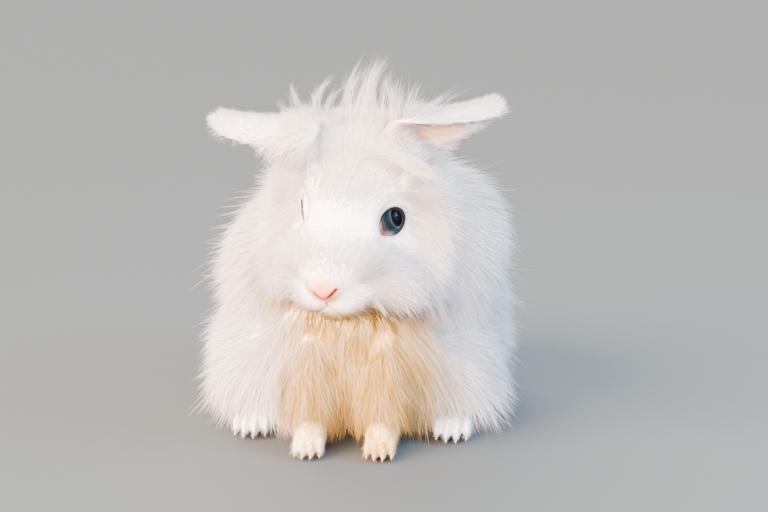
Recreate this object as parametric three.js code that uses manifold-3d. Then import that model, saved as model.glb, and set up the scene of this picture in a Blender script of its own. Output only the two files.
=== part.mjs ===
// A young white angora rabbit, crouched and still, at life size.
// Units are millimetres. +Z is up, the rabbit faces -Y and its left side is +X. The origin is on
// the floor, under the middle of the whole animal. The solids follow the outside of the coat. Each
// named piece is one closed body, parted from its neighbours by thin gaps.
import * as THREE from "three";
import { mergeVertices } from "three/addons/utils/BufferGeometryUtils.js";
import Module from "manifold-3d";

const wasm = await Module();
wasm.setup();

// Driving dimensions
const GAP = 0.35; // clear space between neighbouring pieces
const EYE_RADIUS = 8.0;
const EYE_OUT = 20.4; // from the middle of the head to an eyeball's centre
const EYE_DROP = 3; // from the origin of the head down to the eyeballs' centres
const EYE_PROUD = 3.2; // how far an eyeball stands out of its dish in the coat
const EYE_FORWARD = 32; // degrees that each eye looks forward of straight sideways
const DISH_RADIUS = 14;
const EAR_LENGTH = 66; // with the root that is sunk in the head's wool
const EAR_WIDTH = 42; // measured round the curve of the ear
const EAR_THICKNESS = 4.8; // with its short coat
const EAR_ROLL = { root: 11, tip: 9 }; // the radius that the ear's width is rolled to
const CROWN_LOCKS = 6; // pointed locks of wool that stand up on the crown
const TOES = 4; // on each foot
const CLAW_SHOWN = 4.5; // the length of a claw beyond its toe
const WRIST_HEIGHT = 19; // where the foreleg ends and the forefoot starts
const NECK_BACK = -36; // where the neck and chest end and the trunk starts
const CHEST_TOP = 84; // where the chest ends and the neck starts

// The head's origin, just above the middle of the two eyes, and how the head is held
const HEAD_AT = new THREE.Vector3(2.5, -70, 131);
const HEAD_YAW = 13.8; // degrees, towards the rabbit's right
const HEAD_PITCH = 22; // degrees, nose down
const HEAD_ROLL = 4; // degrees, left side down

// How each ear is held on the head: degrees up from level, and degrees swept back
const EAR_RISE = { left: 7, right: 2 };
const EAR_SWEEP = { left: 34, right: -6 };
const EAR_FACING = 78; // degrees below straight ahead that the ear opens

const SIDES = [
  ["left", 1],
  ["right", -1],
];
const X_AXIS = new THREE.Vector3(1, 0, 0);
const Y_AXIS = new THREE.Vector3(0, 1, 0);
const Z_AXIS = new THREE.Vector3(0, 0, 1);
const radians = THREE.MathUtils.degToRad;

// Colours
const WOOL = 0xf3ece8;
const BIB = 0xeedcc0;
const EAR = 0xf0ddd2;
const EYE = 0x2f4a52;

// A blob is an ellipsoid used as a distance field: its centre and its radii.
function blobDistance([c, r], x, y, z) {
  const [dx, dy, dz] = [x - c[0], y - c[1], z - c[2]];
  const near = Math.hypot(dx / r[0], dy / r[1], dz / r[2]);
  const slope = Math.hypot(dx / (r[0] * r[0]), dy / (r[1] * r[1]), dz / (r[2] * r[2]));
  return slope < 1e-9 ? -Math.min(...r) : (near * (near - 1)) / slope;
}

function smoothUnion(a, b, fillet) {
  const h = Math.max(fillet - Math.abs(a - b), 0) / fillet;
  return Math.min(a, b) - h * h * fillet * 0.25;
}

// The blobs of one piece of the body, run together with fillets
function union(blobs, fillet) {
  return (x, y, z) => blobs.reduce((d, b) => smoothUnion(d, blobDistance(b, x, y, z), fillet), 1e3);
}

// The same blob on both sides
function pair([x, y, z], r) {
  return SIDES.map(([, side]) => [[side * x, y, z], r]);
}

function solid(geometry) {
  const bare = geometry.clone();
  bare.deleteAttribute("normal");
  bare.deleteAttribute("uv");
  const merged = mergeVertices(bare, 1e-4);
  return new wasm.Manifold(
    new wasm.Mesh({
      numProp: 3,
      vertProperties: merged.attributes.position.array,
      triVerts: new Uint32Array(merged.index.array),
    }),
  );
}

// The surface of a field round a centre inside it: each point of a sphere, stretched to the rough
// shape of the piece, moves out to where the field is first as large as the offset.
function surfaceOf(field, centre, detail, { stretch = [1, 1, 1], offset = 0 } = {}) {
  const stride = 2;
  const halvings = 12;
  const g = new THREE.IcosahedronGeometry(1, detail);
  g.scale(...stretch);
  const p = g.attributes.position;
  const at = (d, t) => field(centre[0] + d.x * t, centre[1] + d.y * t, centre[2] + d.z * t);
  for (let i = 0; i < p.count; i++) {
    const d = new THREE.Vector3().fromBufferAttribute(p, i).normalize();
    let out = 0;
    while (at(d, out + stride) < offset) out += stride;
    for (let step = stride / 2, k = 0; k < halvings; k++, step /= 2) {
      if (at(d, out + step) < offset) out += step;
    }
    p.setXYZ(i, centre[0] + d.x * out, centre[1] + d.y * out, centre[2] + d.z * out);
  }
  return solid(g);
}

function ellipsoid(centre, r, detail, grow = 0) {
  const g = new THREE.IcosahedronGeometry(1, detail);
  g.scale(r[0] + grow, r[1] + grow, r[2] + grow);
  g.translate(...centre);
  return solid(g);
}

// A straight cone from its root to its tip
function pointed(root, tip, radius, edges) {
  const along = tip.clone().sub(root);
  const g = new THREE.ConeGeometry(radius, along.length(), edges);
  g.applyQuaternion(new THREE.Quaternion().setFromUnitVectors(Y_AXIS, along.clone().normalize()));
  const middle = root.clone().add(tip).multiplyScalar(0.5);
  g.translate(middle.x, middle.y, middle.z);
  return solid(g);
}

// All that lies beyond a plane, on the side its normal points to
function beyond(point, normal) {
  const size = 800;
  const g = new THREE.BoxGeometry(size, size, size);
  g.translate(0, 0, size / 2);
  g.applyQuaternion(new THREE.Quaternion().setFromUnitVectors(Z_AXIS, normal));
  g.translate(point.x, point.y, point.z);
  return solid(g);
}

// The two sides of a solid parted by a thin plane cut
function part(whole, point, direction) {
  const normal = direction.clone().normalize();
  const back = normal.clone().negate();
  return [
    whole.intersect(beyond(point.clone().addScaledVector(normal, GAP / 2), normal)),
    whole.intersect(beyond(point.clone().addScaledVector(back, GAP / 2), back)),
  ];
}

function without(whole, cutters) {
  return cutters.reduce((rest, cutter) => rest.subtract(cutter), whole);
}

const group = new THREE.Group();

function add(name, made, colour, roughness = 0.9) {
  const m = made.getMesh();
  const positions = new Float32Array(m.numVert * 3);
  for (let i = 0; i < m.numVert; i++) {
    const from = i * m.numProp;
    positions.set(m.vertProperties.subarray(from, from + 3), i * 3);
  }
  const g = new THREE.BufferGeometry();
  g.setAttribute("position", new THREE.BufferAttribute(positions, 3));
  g.setIndex(new THREE.BufferAttribute(new Uint32Array(m.triVerts), 1));
  g.computeVertexNormals();
  const mesh = new THREE.Mesh(g, new THREE.MeshStandardMaterial({ color: colour, roughness }));
  mesh.name = name;
  group.add(mesh);
}

// The head's own frame has the same directions as the rabbit's: x to its left, y back, z up. Its
// origin is just above the middle of the two eyes.
const headFrame = new THREE.Matrix4()
  .makeTranslation(HEAD_AT)
  .multiply(
    new THREE.Matrix4().makeRotationFromEuler(
      new THREE.Euler(radians(HEAD_PITCH), radians(HEAD_ROLL), radians(-HEAD_YAW), "ZXY"),
    ),
  );

function onHead(x, y, z) {
  return new THREE.Vector3(x, y, z).applyMatrix4(headFrame);
}

function inHeadFrame(field) {
  const e = headFrame.clone().invert().elements;
  return (x, y, z) =>
    field(
      e[0] * x + e[4] * y + e[8] * z + e[12],
      e[1] * x + e[5] * y + e[9] * z + e[13],
      e[2] * x + e[6] * y + e[10] * z + e[14],
    );
}

// Head: the face in its short coat, and the long wool of the crown and cheeks round it
const face = union(
  [
    [[0, 13, 1], [29.5, 34, 27]], // skull
    [[0, -14, -5], [13, 24, 13]], // bridge of the nose
    [[0, -20, -14], [15.5, 25, 14]], // muzzle
    [[0, -38, -23], [7, 7, 6]], // nose
    ...pair([8, -32, -29], [11, 12.5, 10]), // lips
    [[0, -24, -38], [11, 12, 8]], // chin
    ...pair([15, 0, -20], [15, 24, 18]), // cheeks
  ],
  8,
);
const faceWool = union(
  [
    [[0, 27, 20], [40, 29, 28]], // crown
    ...pair([36, 17, -8], [19, 21, 30]), // behind the cheeks
    ...pair([34, 2, -42], [20, 20, 27]), // below the cheeks
    [[0, 0, -44], [30, 22, 21]], // throat
  ],
  12,
);
const headField = inHeadFrame((x, y, z) => smoothUnion(face(x, y, z), faceWool(x, y, z), 7));
const headCentre = onHead(0, 8, -6).toArray();

// The head out to the wool's tips, grown by a clear space where its neighbours are cut to it
function headSolid(grow) {
  let made = surfaceOf(headField, headCentre, 7, { offset: grow });
  for (let i = 0; i < CROWN_LOCKS; i++) {
    const across = i / (CROWN_LOCKS - 1) - 0.5; // from the right ear to the left ear
    const sway = Math.sin(i * 1.7);
    const root = onHead(50 * across, 22 + 5 * sway, 34 - 26 * across * across);
    const tallest = Math.exp(-Math.pow((across - 0.17) / 0.12, 2));
    const tip = onHead(70 * across, 28 + 8 * sway, 61 - 40 * across * across + 13 * tallest);
    made = made.add(pointed(root, tip, 7.5 + grow, 6));
  }
  return made;
}

let head = headSolid(0);
const headRoom = headSolid(GAP);

// Eyes, each in a shallow dish of the coat so that the ball stands proud as in life
for (const [name, side] of SIDES) {
  const [out, forward] = [Math.cos(radians(EYE_FORWARD)), Math.sin(radians(EYE_FORWARD))];
  const dishFar = EYE_RADIUS - EYE_PROUD + DISH_RADIUS;
  const dishAt = onHead(side * (EYE_OUT + out * dishFar), -forward * dishFar, -EYE_DROP).toArray();
  const eyeAt = onHead(side * EYE_OUT, 0, -EYE_DROP).toArray();
  const ball = [EYE_RADIUS, EYE_RADIUS, EYE_RADIUS];
  head = head.subtract(ellipsoid(dishAt, [DISH_RADIUS, DISH_RADIUS, DISH_RADIUS], 2));
  head = head.subtract(ellipsoid(eyeAt, ball, 2, GAP));
  add(`eye_${name}`, ellipsoid(eyeAt, ball, 2), EYE, 0.1);
}

// Ears: leaves rolled along their length, held out sideways and open downwards
function ear(name, side) {
  const g = new THREE.SphereGeometry(1, 12, 11);
  const p = g.attributes.position;
  for (let i = 0; i < p.count; i++) {
    const [x, y, z] = [p.getX(i), p.getY(i), p.getZ(i)];
    const ring = Math.sqrt(Math.max(0, 1 - y * y));
    const [cx, cz] = ring > 1e-6 ? [x / ring, z / ring] : [0, 0];
    const t = (y + 1) / 2; // 0 at the root and 1 at the tip
    const across = (EAR_WIDTH / 2) * Math.pow(ring, 0.55) * (1 - 0.3 * t) * cx;
    const inwards = (EAR_THICKNESS / 2) * Math.pow(ring, 0.6) * cz;
    const curve = THREE.MathUtils.lerp(EAR_ROLL.root, EAR_ROLL.tip, t);
    const turn = across / curve;
    const far = curve - inwards;
    p.setXYZ(i, far * Math.sin(turn), EAR_LENGTH * t, curve - far * Math.cos(turn));
  }
  const [rise, sweep, facing] = [EAR_RISE[name], EAR_SWEEP[name], EAR_FACING].map(radians);
  const length = X_AXIS.clone().multiplyScalar(side * Math.cos(rise) * Math.cos(sweep));
  length.addScaledVector(Y_AXIS, Math.cos(rise) * Math.sin(sweep));
  length.addScaledVector(Z_AXIS, Math.sin(rise));
  const opening = new THREE.Vector3(0, -Math.cos(facing), -Math.sin(facing));
  opening.addScaledVector(length, -opening.dot(length)).normalize();
  const width = new THREE.Vector3().crossVectors(length, opening);
  g.applyMatrix4(new THREE.Matrix4().makeBasis(width, length, opening));
  g.translate(side * 18, 18, 39);
  g.applyMatrix4(headFrame);
  return solid(g);
}

for (const [name, side] of SIDES) {
  add(`ear_${name}`, ear(name, side).subtract(headRoom), EAR);
}
add("head", head, WOOL);

// Legs and feet. The soles are cut flat at the floor.
const aboveFloor = beyond(new THREE.Vector3(0, 0, 0), Z_AXIS);
const legRooms = []; // the room each leg and foot takes with its clearance, cut from the wool

// The toes' centres, spread evenly round the end of a foot, the outer ones set back
function toesAt([x, y, z], spread) {
  return Array.from({ length: TOES }, (_, i) => {
    const across = (i - (TOES - 1) / 2) * spread;
    return [x + across, y + across * across * 0.09, z];
  });
}

// A claw from the middle of a toe, pointing forwards and down to just above the floor
function claw([x, y, z], toeLength) {
  const tip = new THREE.Vector3(x, y - toeLength - CLAW_SHOWN, 1.2);
  return pointed(new THREE.Vector3(x, y, z), tip, 2, 5);
}

// A leg or foot with its claws: blobs of flesh and coat run together with its toes
function limb(blobs, toes, toeRadii, centre, detail, stretch) {
  const field = union([...blobs, ...toes.map((toe) => [toe, toeRadii])], 4);
  legRooms.push(surfaceOf(field, centre, detail, { stretch, offset: GAP }));
  const made = surfaceOf(field, centre, detail, { stretch }).intersect(aboveFloor);
  return toes.reduce((rest, toe) => rest.add(claw(toe, toeRadii[1])), made);
}

for (const [name, side] of SIDES) {
  const leg = limb(
    [
      [[side * 20, -66, 32], [14, 15, 30]], // foreleg
      [[side * 19, -74, 10], [10, 15, 11]], // forefoot
    ],
    toesAt([side * 19, -89, 5.6], 4.4),
    [2.9, 7, 5.8],
    [side * 19.5, -75, 15],
    3,
    [1, 1.5, 1.4],
  );
  const wrist = new THREE.Vector3(0, -74, WRIST_HEIGHT);
  const [foreleg, forefoot] = part(leg, wrist, new THREE.Vector3(0, 0.25, 1));
  add(`foreleg_${name}`, foreleg, WOOL);
  add(`forefoot_${name}`, forefoot, WOOL);

  const foot = limb(
    [
      [[side * 47, 2, 9], [11.5, 26, 10.5]], // heel
      [[side * 52, -26, 8], [12, 24, 9]], // instep
    ],
    toesAt([side * 55, -49, 6.3], 5.4),
    [3.4, 11, 6.6],
    [side * 51, -20, 7],
    3,
    [1, 3.4, 0.8],
  );
  add(`hind_foot_${name}`, foot, WOOL);
}

// Tail, turned up against the rump
const tailField = union([[[0, 124, 56], [19, 17, 23]], [[0, 130, 70], [14, 13, 17]]], 8);
const tailCentre = [0, 125, 60];
add("tail", surfaceOf(tailField, tailCentre, 2), WOOL);

// Body in its long wool, fuller over the left shoulder, with a flat under the rump
const bodyField = union(
  [
    [[-1, 58, 77], [78, 68, 71]], // rump
    [[0, 28, 92], [70, 60, 58]], // back
    [[-2, 0, 78], [80, 60, 68]], // shoulders
    [[40, 4, 108], [46, 50, 46]], // top of the left shoulder
    [[-26, 0, 95], [46, 50, 42]], // top of the right shoulder
    [[0, -20, 104], [56, 34, 48]], // mane
    ...pair([50, 54, 51], [38, 46, 44]), // haunches
    [[-3, 24, 44], [84, 86, 36]], // belly
    [[-53, 12, 39], [39, 54, 31]], // right flank
    [[48, 12, 39], [38, 54, 31]], // left flank
    [[-2, -34, 38], [74, 40, 30]], // wool over the elbows
    ...pair([60, -14, 25], [27, 36, 19]), // wool that hangs over the hind toes
    [[2, -50, 56], [50, 30, 44]], // bib
    [[0, 78, 16], [46, 34, 17]], // seat
  ],
  20,
);
const body = without(surfaceOf(bodyField, [0, 14, 70], 6).intersect(aboveFloor), [
  headRoom,
  ...legRooms,
  surfaceOf(tailField, tailCentre, 2, { offset: GAP }),
]);
const [front, behind] = part(
  body,
  new THREE.Vector3(0, NECK_BACK, 80),
  new THREE.Vector3(0, -1, 0.3),
);
const [neck, chest] = part(front, new THREE.Vector3(0, -60, CHEST_TOP), new THREE.Vector3(0, 0.2, 1));
add("neck", neck, WOOL);
add("chest", chest, BIB);

// Thighs, the rounded haunches at the sides of the trunk
const haunchRadii = [46, 48, 48];
let trunk = behind;
for (const [name, side] of SIDES) {
  const centre = [side * 62, 50, 54];
  add(`thigh_${name}`, behind.intersect(ellipsoid(centre, haunchRadii, 2)), WOOL);
  trunk = trunk.subtract(ellipsoid(centre, haunchRadii, 2, GAP));
}
add("trunk", trunk, WOOL);

// The origin goes on the floor, under the middle of the whole animal.
const box = new THREE.Box3().setFromObject(group);
group.position.set(-(box.min.x + box.max.x) / 2, -(box.min.y + box.max.y) / 2, -box.min.z);

export default group;
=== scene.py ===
import math

import bpy
import numpy as np
from mathutils import Matrix, Vector
from mathutils.kdtree import KDTree


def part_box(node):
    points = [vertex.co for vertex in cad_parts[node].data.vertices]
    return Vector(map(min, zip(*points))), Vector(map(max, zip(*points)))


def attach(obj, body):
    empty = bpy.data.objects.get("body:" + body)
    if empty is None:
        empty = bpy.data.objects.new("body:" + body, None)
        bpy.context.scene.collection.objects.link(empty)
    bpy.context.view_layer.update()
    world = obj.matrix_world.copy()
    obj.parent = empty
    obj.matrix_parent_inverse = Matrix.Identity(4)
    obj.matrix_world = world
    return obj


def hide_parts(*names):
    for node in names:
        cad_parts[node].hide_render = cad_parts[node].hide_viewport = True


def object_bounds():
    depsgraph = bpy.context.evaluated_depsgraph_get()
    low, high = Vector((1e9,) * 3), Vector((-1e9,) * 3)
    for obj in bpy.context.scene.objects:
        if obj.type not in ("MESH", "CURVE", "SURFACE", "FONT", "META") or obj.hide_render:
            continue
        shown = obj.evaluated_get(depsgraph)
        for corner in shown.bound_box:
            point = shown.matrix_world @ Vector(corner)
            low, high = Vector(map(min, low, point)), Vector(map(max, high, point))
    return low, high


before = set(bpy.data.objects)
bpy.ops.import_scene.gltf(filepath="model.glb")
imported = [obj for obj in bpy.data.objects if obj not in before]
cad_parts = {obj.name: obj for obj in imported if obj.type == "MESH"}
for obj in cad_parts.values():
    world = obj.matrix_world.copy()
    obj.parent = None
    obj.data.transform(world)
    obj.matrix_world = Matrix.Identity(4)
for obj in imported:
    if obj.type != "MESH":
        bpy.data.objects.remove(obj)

cad_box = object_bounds()


# Camera. It stands a little to the rabbit's left and looks slightly down on it, from just over a
# metre away through a long lens.
CAMERA_TURN, CAMERA_RISE, CAMERA_AWAY = math.radians(5), math.radians(11.5), 1.131
CAMERA_AIM = Vector((0.0215, -0.0789, 0.1045))


def object_of(name, data):
    """A new object in the scene"""
    made = bpy.data.objects.new(name, data)
    bpy.context.collection.objects.link(made)
    return made


towards_camera = Vector((
    math.sin(CAMERA_TURN) * math.cos(CAMERA_RISE),
    -math.cos(CAMERA_TURN) * math.cos(CAMERA_RISE),
    math.sin(CAMERA_RISE),
))
camera_data = bpy.data.cameras.new("camera")
camera_data.lens = 100
camera_data.sensor_width = 36
camera_data.clip_end = 50
camera = object_of("camera", camera_data)
camera.location = CAMERA_AIM + towards_camera * CAMERA_AWAY
camera.rotation_euler = towards_camera.to_track_quat("Z", "Y").to_euler()
bpy.context.scene.camera = camera


# Floor and light. A plain pale floor and room, broad warm light from the rabbit's right and from
# behind it, a soft fill in front, and a cool lamp on its left that shows in the eye.
FLOOR_SIZE, FLOOR_ROUGHNESS = 30.0, 0.75
FLOOR_COLOUR = (0.068, 0.074, 0.069, 1)
ROOM_COLOUR, ROOM_STRENGTH = (0.68, 0.83, 1.0, 1), 2.2


def shader(name):
    """A new material, its node tree and its surface shader"""
    material = bpy.data.materials.new(name)
    material.use_nodes = True
    return material, material.node_tree, material.node_tree.nodes["Principled BSDF"]


def feed(tree, made, inputs):
    """Each input of a node, by its name or number, is set to a value or linked to an output"""
    for key, value in inputs.items():
        if isinstance(value, bpy.types.NodeSocket):
            tree.links.new(value, made.inputs[key])
        else:
            made.inputs[key].default_value = value


def node(tree, kind, inputs, **settings):
    """A new node with its settings and its inputs"""
    made = tree.nodes.new("ShaderNode" + kind)
    for key, value in settings.items():
        setattr(made, key, value)
    feed(tree, made, inputs)
    return made


floor_mesh = bpy.data.meshes.new("floor")
h = FLOOR_SIZE / 2
floor_mesh.from_pydata([(-h, -h, 0), (h, -h, 0), (h, h, 0), (-h, h, 0)], [], [(0, 1, 2, 3)])
floor = object_of("floor", floor_mesh)
floor_paint, tree, surface = shader("floor_paint")
feed(tree, surface, {"Base Color": FLOOR_COLOUR, "Roughness": FLOOR_ROUGHNESS})
floor_mesh.materials.append(floor_paint)

world = bpy.data.worlds.new("room")
world.use_nodes = True
tree = world.node_tree
feed(tree, tree.nodes["Background"], {"Color": ROOM_COLOUR, "Strength": ROOM_STRENGTH})
bpy.context.scene.world = world


def lamp(name, kind, place, size, power, colour, mirrored=False):
    """A light aimed at the rabbit: a round lamp of a size in metres, or a far one in degrees"""
    data = bpy.data.lights.new(name, kind)
    if kind == "SUN":
        data.angle = math.radians(size)
    else:
        data.shape = "DISK"
        data.size = size
    data.energy = power
    data.color = colour
    made = object_of(name, data)
    made.location = place
    away = made.location - CAMERA_AIM
    made.rotation_euler = away.to_track_quat("Z", "Y").to_euler()
    made.visible_glossy = mirrored


lamp("warm_side", "SUN", (-0.95, -0.85, 0.80), 45, 24, (1.0, 0.74, 0.58))
lamp("warm_back", "SUN", (-0.45, 1.0, 1.0), 40, 8, (1.0, 0.88, 0.76))
lamp("front_fill", "AREA", (-0.20, -1.7, 0.45), 1.6, 240, (1.0, 0.77, 0.66))
lamp("cool_side", "AREA", (1.02, -0.37, 0.76), 0.6, 46, (0.28, 0.58, 1.0), mirrored=True)


# The body under the coat: one skin for the whole animal, with no seam, from the nose to the tail.
# Rounded masses of flesh are run together, each lying inside its solid by the depth of the coat
# that grows there. All of it is worked out in millimetres and set in place at the end.
WOOL_DEPTH, HEAD_WOOL_DEPTH, FUR_DEPTH = 12.0, 8.0, 1.2
HEAD_AT = np.array([2.5, -70.0, 131.0])
EYE_AT = np.array([20.4, 0.0, -3.0])
EYE_RADIUS = 8.0
EYE_FORWARD = math.radians(32)
SIDES = {"left": 1, "right": -1}


def turn(axis, degrees):
    return np.array(Matrix.Rotation(math.radians(degrees), 3, axis))


HEAD_TURN = turn("Z", -13.8) @ turn("X", 22) @ turn("Y", 4)


def on_head(place):
    """From the head's own frame, x to its left, y back and z up, to the body's"""
    return HEAD_AT + np.asarray(place, float) @ HEAD_TURN.T


def in_head(x, y, z):
    """From the body's frame to the head's own"""
    away = (x - HEAD_AT[0], y - HEAD_AT[1], z - HEAD_AT[2])
    return [sum(HEAD_TURN[i, axis] * away[i] for i in range(3)) for axis in range(3)]


# The two eyes of the solid model say where the body's frame stands.
eye_boxes = [np.array(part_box(f"eye_{side}")) for side in SIDES]
ORIGIN = np.mean([b.mean(axis=0) for b in eye_boxes], axis=0) - on_head((0, 0, EYE_AT[2])) / 1000


def smooth(value, start, end):
    """From 0 at the start to 1 at the end"""
    t = np.clip((value - start) / (end - start), 0, 1)
    return t * t * (3 - 2 * t)


def blob(x, y, z, centre, radii):
    dx, dy, dz = x - centre[0], y - centre[1], z - centre[2]
    near = np.sqrt((dx / radii[0]) ** 2 + (dy / radii[1]) ** 2 + (dz / radii[2]) ** 2)
    slope = np.sqrt(
        (dx / radii[0] ** 2) ** 2 + (dy / radii[1] ** 2) ** 2 + (dz / radii[2] ** 2) ** 2
    )
    return near * (near - 1) / np.maximum(slope, 1e-6)


def melt(a, b, fillet):
    """Two shapes run together with a fillet between them"""
    h = np.maximum(fillet - np.abs(a - b), 0) / fillet
    return np.minimum(a, b) - h * h * fillet / 4


def carve(a, b, fillet):
    """The first shape with the second cut out of it"""
    return -melt(-a, b, fillet)


def run_together(x, y, z, masses, fillet):
    made = blob(x, y, z, *masses[0])
    for mass in masses[1:]:
        made = melt(made, blob(x, y, z, *mass), fillet)
    return made


def both(centre, radii):
    return [((side * centre[0], *centre[1:]), radii) for side in (1, -1)]


TORSO = [
    ((-1, 58, 77), (78, 68, 71)),  # rump
    ((0, 28, 92), (70, 60, 58)),  # back
    ((-2, 0, 78), (80, 60, 68)),  # shoulders
    ((40, 4, 108), (46, 50, 46)),  # top of the left shoulder
    ((-26, 0, 95), (46, 50, 42)),  # top of the right shoulder
    ((0, -20, 104), (56, 34, 48)),  # mane
    *both((50, 54, 51), (38, 46, 44)),  # haunches
    ((-3, 24, 44), (84, 86, 36)),  # belly
    ((-49, 12, 39), (38, 54, 31)),  # right flank
    ((45, 12, 39), (37, 54, 31)),  # left flank
    ((-2, -34, 38), (74, 40, 30)),  # wool over the elbows
    *both((60, -14, 25), (27, 36, 19)),  # over the hind toes
    ((2, -50, 56), (50, 30, 44)),  # bib
    ((0, -24, 122), (42, 34, 36)),  # nape
    ((0, 76, 24), (58, 42, 27)),  # seat
]
TAIL = [((0, 118, 54), (22, 18, 24)), ((0, 125, 64), (17, 15, 19))]
SKULL = [
    ((0, 13, 1), (29.5, 34, 27)),
    ((0, -14, -5), (13, 24, 13)),  # bridge of the nose
    ((0, -20, -14), (15.5, 25, 14)),  # muzzle
    *both((17, -3, -20), (17, 25, 18)),  # cheeks
    *both((13, -18, -14), (14, 21, 15)),  # between the nose and the eyes
]
MUZZLE = [
    ((0, -39, -24.5), (7.5, 7, 6.5)),  # nose
    *both((4.0, -40.5, -22.5), (3.8, 4.4, 3.3)),  # wings of the nostrils
    *both((8.0, -29.5, -33.0), (12, 13, 11)),  # lips
    ((0, -24, -40.5), (11, 13, 8.5)),  # chin
]
HEAD_WOOL = [
    ((0, 26, 19), (38, 30, 27)),  # crown
    *both((20, 13, 28), (17, 16, 16)),  # roots of the ears
    *both((29, 22, 6), (22, 21, 26)),  # below the ears
    *both((35, 14, -12), (20, 21, 29)),  # behind the cheeks
    *both((24, -13, -30), (23, 25, 20.5)),  # cheeks
    *both((34, 2, -42), (20, 20, 27)),  # below the cheeks
    ((0, 0, -45), (30, 23, 21)),  # throat
]
TOES = 4


def toes(foot, spread, radii):
    x, y, z = foot
    steps = [(i - (TOES - 1) / 2) * spread for i in range(TOES)]
    return [((x + across, y + across * across * 0.09, z), radii) for across in steps]


FORE_TOES = {side: toes((s * 19, -89, 5.6), 4.4, (2.9, 7, 5.8)) for side, s in SIDES.items()}
HIND_TOES = {side: toes((s * 55, -49, 6.3), 5.4, (3.4, 11, 6.6)) for side, s in SIDES.items()}
LIMBS = {
    side: (
        [((s * 20, -66, 32), (14, 15, 30)), ((s * 19, -74, 10), (10, 15, 11)), *FORE_TOES[side]],
        [((s * 47, 2, 9), (11.5, 26, 10.5)), ((s * 52, -26, 8), (12, 24, 9)), *HIND_TOES[side]],
    )
    for side, s in SIDES.items()
}

# Each ear is a leaf rolled along its length, held out sideways and open downwards.
EAR_LENGTH, EAR_WIDTH, EAR_THICKNESS = 57.0, 42.0, 3.6
EAR_RISE, EAR_SWEEP = {"left": -2, "right": 1}, {"left": 38, "right": -6}
EAR_FACING = {"left": math.radians(8), "right": math.radians(66)}
EAR_TWIST = {"left": math.radians(46), "right": 0.0}
EAR_ROLL = (13.5, 11.5)


def ear_axes(side):
    s, rise, sweep = SIDES[side], math.radians(EAR_RISE[side]), math.radians(EAR_SWEEP[side])
    along = np.array(
        [s * math.cos(rise) * math.cos(sweep), math.cos(rise) * math.sin(sweep), math.sin(rise)]
    )
    opening = np.array([0, -math.cos(EAR_FACING[side]), -math.sin(EAR_FACING[side])])
    opening -= along * (opening @ along)
    opening /= np.linalg.norm(opening)
    return np.cross(along, opening), along, opening


def ear_place(hx, hy, hz, side):
    """Where a point is on an ear: across it, 0 to 1 along it, and inwards from its middle sheet"""
    s = SIDES[side]
    away = (hx - s * 18, hy - 18, hz - 39)
    w, l, o = (sum(axis[i] * away[i] for i in range(3)) for axis in ear_axes(side))
    t = np.clip(l / EAR_LENGTH, 0.0, 1.0)
    curve = EAR_ROLL[0] + (EAR_ROLL[1] - EAR_ROLL[0]) * t
    far = np.hypot(w, curve - o)
    return (np.arctan2(w, curve - o) + EAR_TWIST[side] * t) * curve, t, curve - far, l


def ear(hx, hy, hz, side):
    across, t, inwards, l = ear_place(hx, hy, hz, side)
    ring = np.sqrt(np.clip(1 - (2 * t - 1) ** 2, 0.004, 1))
    half_width = EAR_WIDTH / 2 * ring ** (0.26 + 0.5 * (1 - t) ** 4) * (1 - 0.2 * t)
    half_thick = EAR_THICKNESS / 2 * (0.7 + 0.3 * ring)
    near = np.hypot(across / half_width, inwards / half_thick)
    slope = np.hypot(across / half_width**2, inwards / half_thick**2)
    past = np.maximum(np.maximum(l - EAR_LENGTH + 1, -l), 0)
    return near * (near - 1) / np.maximum(slope, 1e-6) + past * 0.9


# The lids stand a little out of a shallow hollow and open round each eye on this outline: degrees
# from the eye's axis, for angles counted from the nose upwards. The front corner of the eye runs
# out to a point below. The right eye is turned away and half shut against the light.
LID_THICKNESS, LID_EDGE, LID_REACH, SOCKET_DEPTH = 1.0, 0.7, 13, 2.6
LID_ANGLES = [0, 45, 90, 135, 180, 225, 262, 288, 300, 309, 318, 335, 360]
LID_OPENINGS = {
    "left": [72, 76, 73, 66, 60, 55, 53, 56, 66, 88, 80, 74, 72],
    "right": [37, 39, 48, 54, 54, 50, 47, 45, 44, 42, 40, 38, 37],
}
EYE_HOLLOW = {"left": 18.4, "right": 16.6}
HOLLOW_OUT, HOLLOW_BACK = 19, 4


def eye_centre(side):
    return np.array([SIDES[side] * EYE_AT[0], EYE_AT[1], EYE_AT[2]])


def eye_axes(side):
    """An eye's directions in the head: out along its axis, towards the nose, and up"""
    s = SIDES[side]
    axis = np.array([s * math.cos(EYE_FORWARD), -math.sin(EYE_FORWARD), 0])
    fore = np.array([-s * math.sin(EYE_FORWARD), -math.cos(EYE_FORWARD), 0])
    return axis, fore, np.array([0, 0, 1.0])


def eye_place(hx, hy, hz, side):
    """Where a point is round an eye: how far from its middle, from its axis, and at what angle"""
    away = (hx - SIDES[side] * EYE_AT[0], hy - EYE_AT[1], hz - EYE_AT[2])
    a, f, u = (sum(axis[i] * away[i] for i in range(3)) for axis in eye_axes(side))
    far = np.sqrt(a * a + f * f + u * u)
    off = np.degrees(np.arccos(np.clip(a / np.maximum(far, 1e-6), -1, 1)))
    return far, off, np.degrees(np.arctan2(u, f)) % 360


def lid_opening(angle, side):
    return np.interp(angle, LID_ANGLES, LID_OPENINGS[side])


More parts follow.
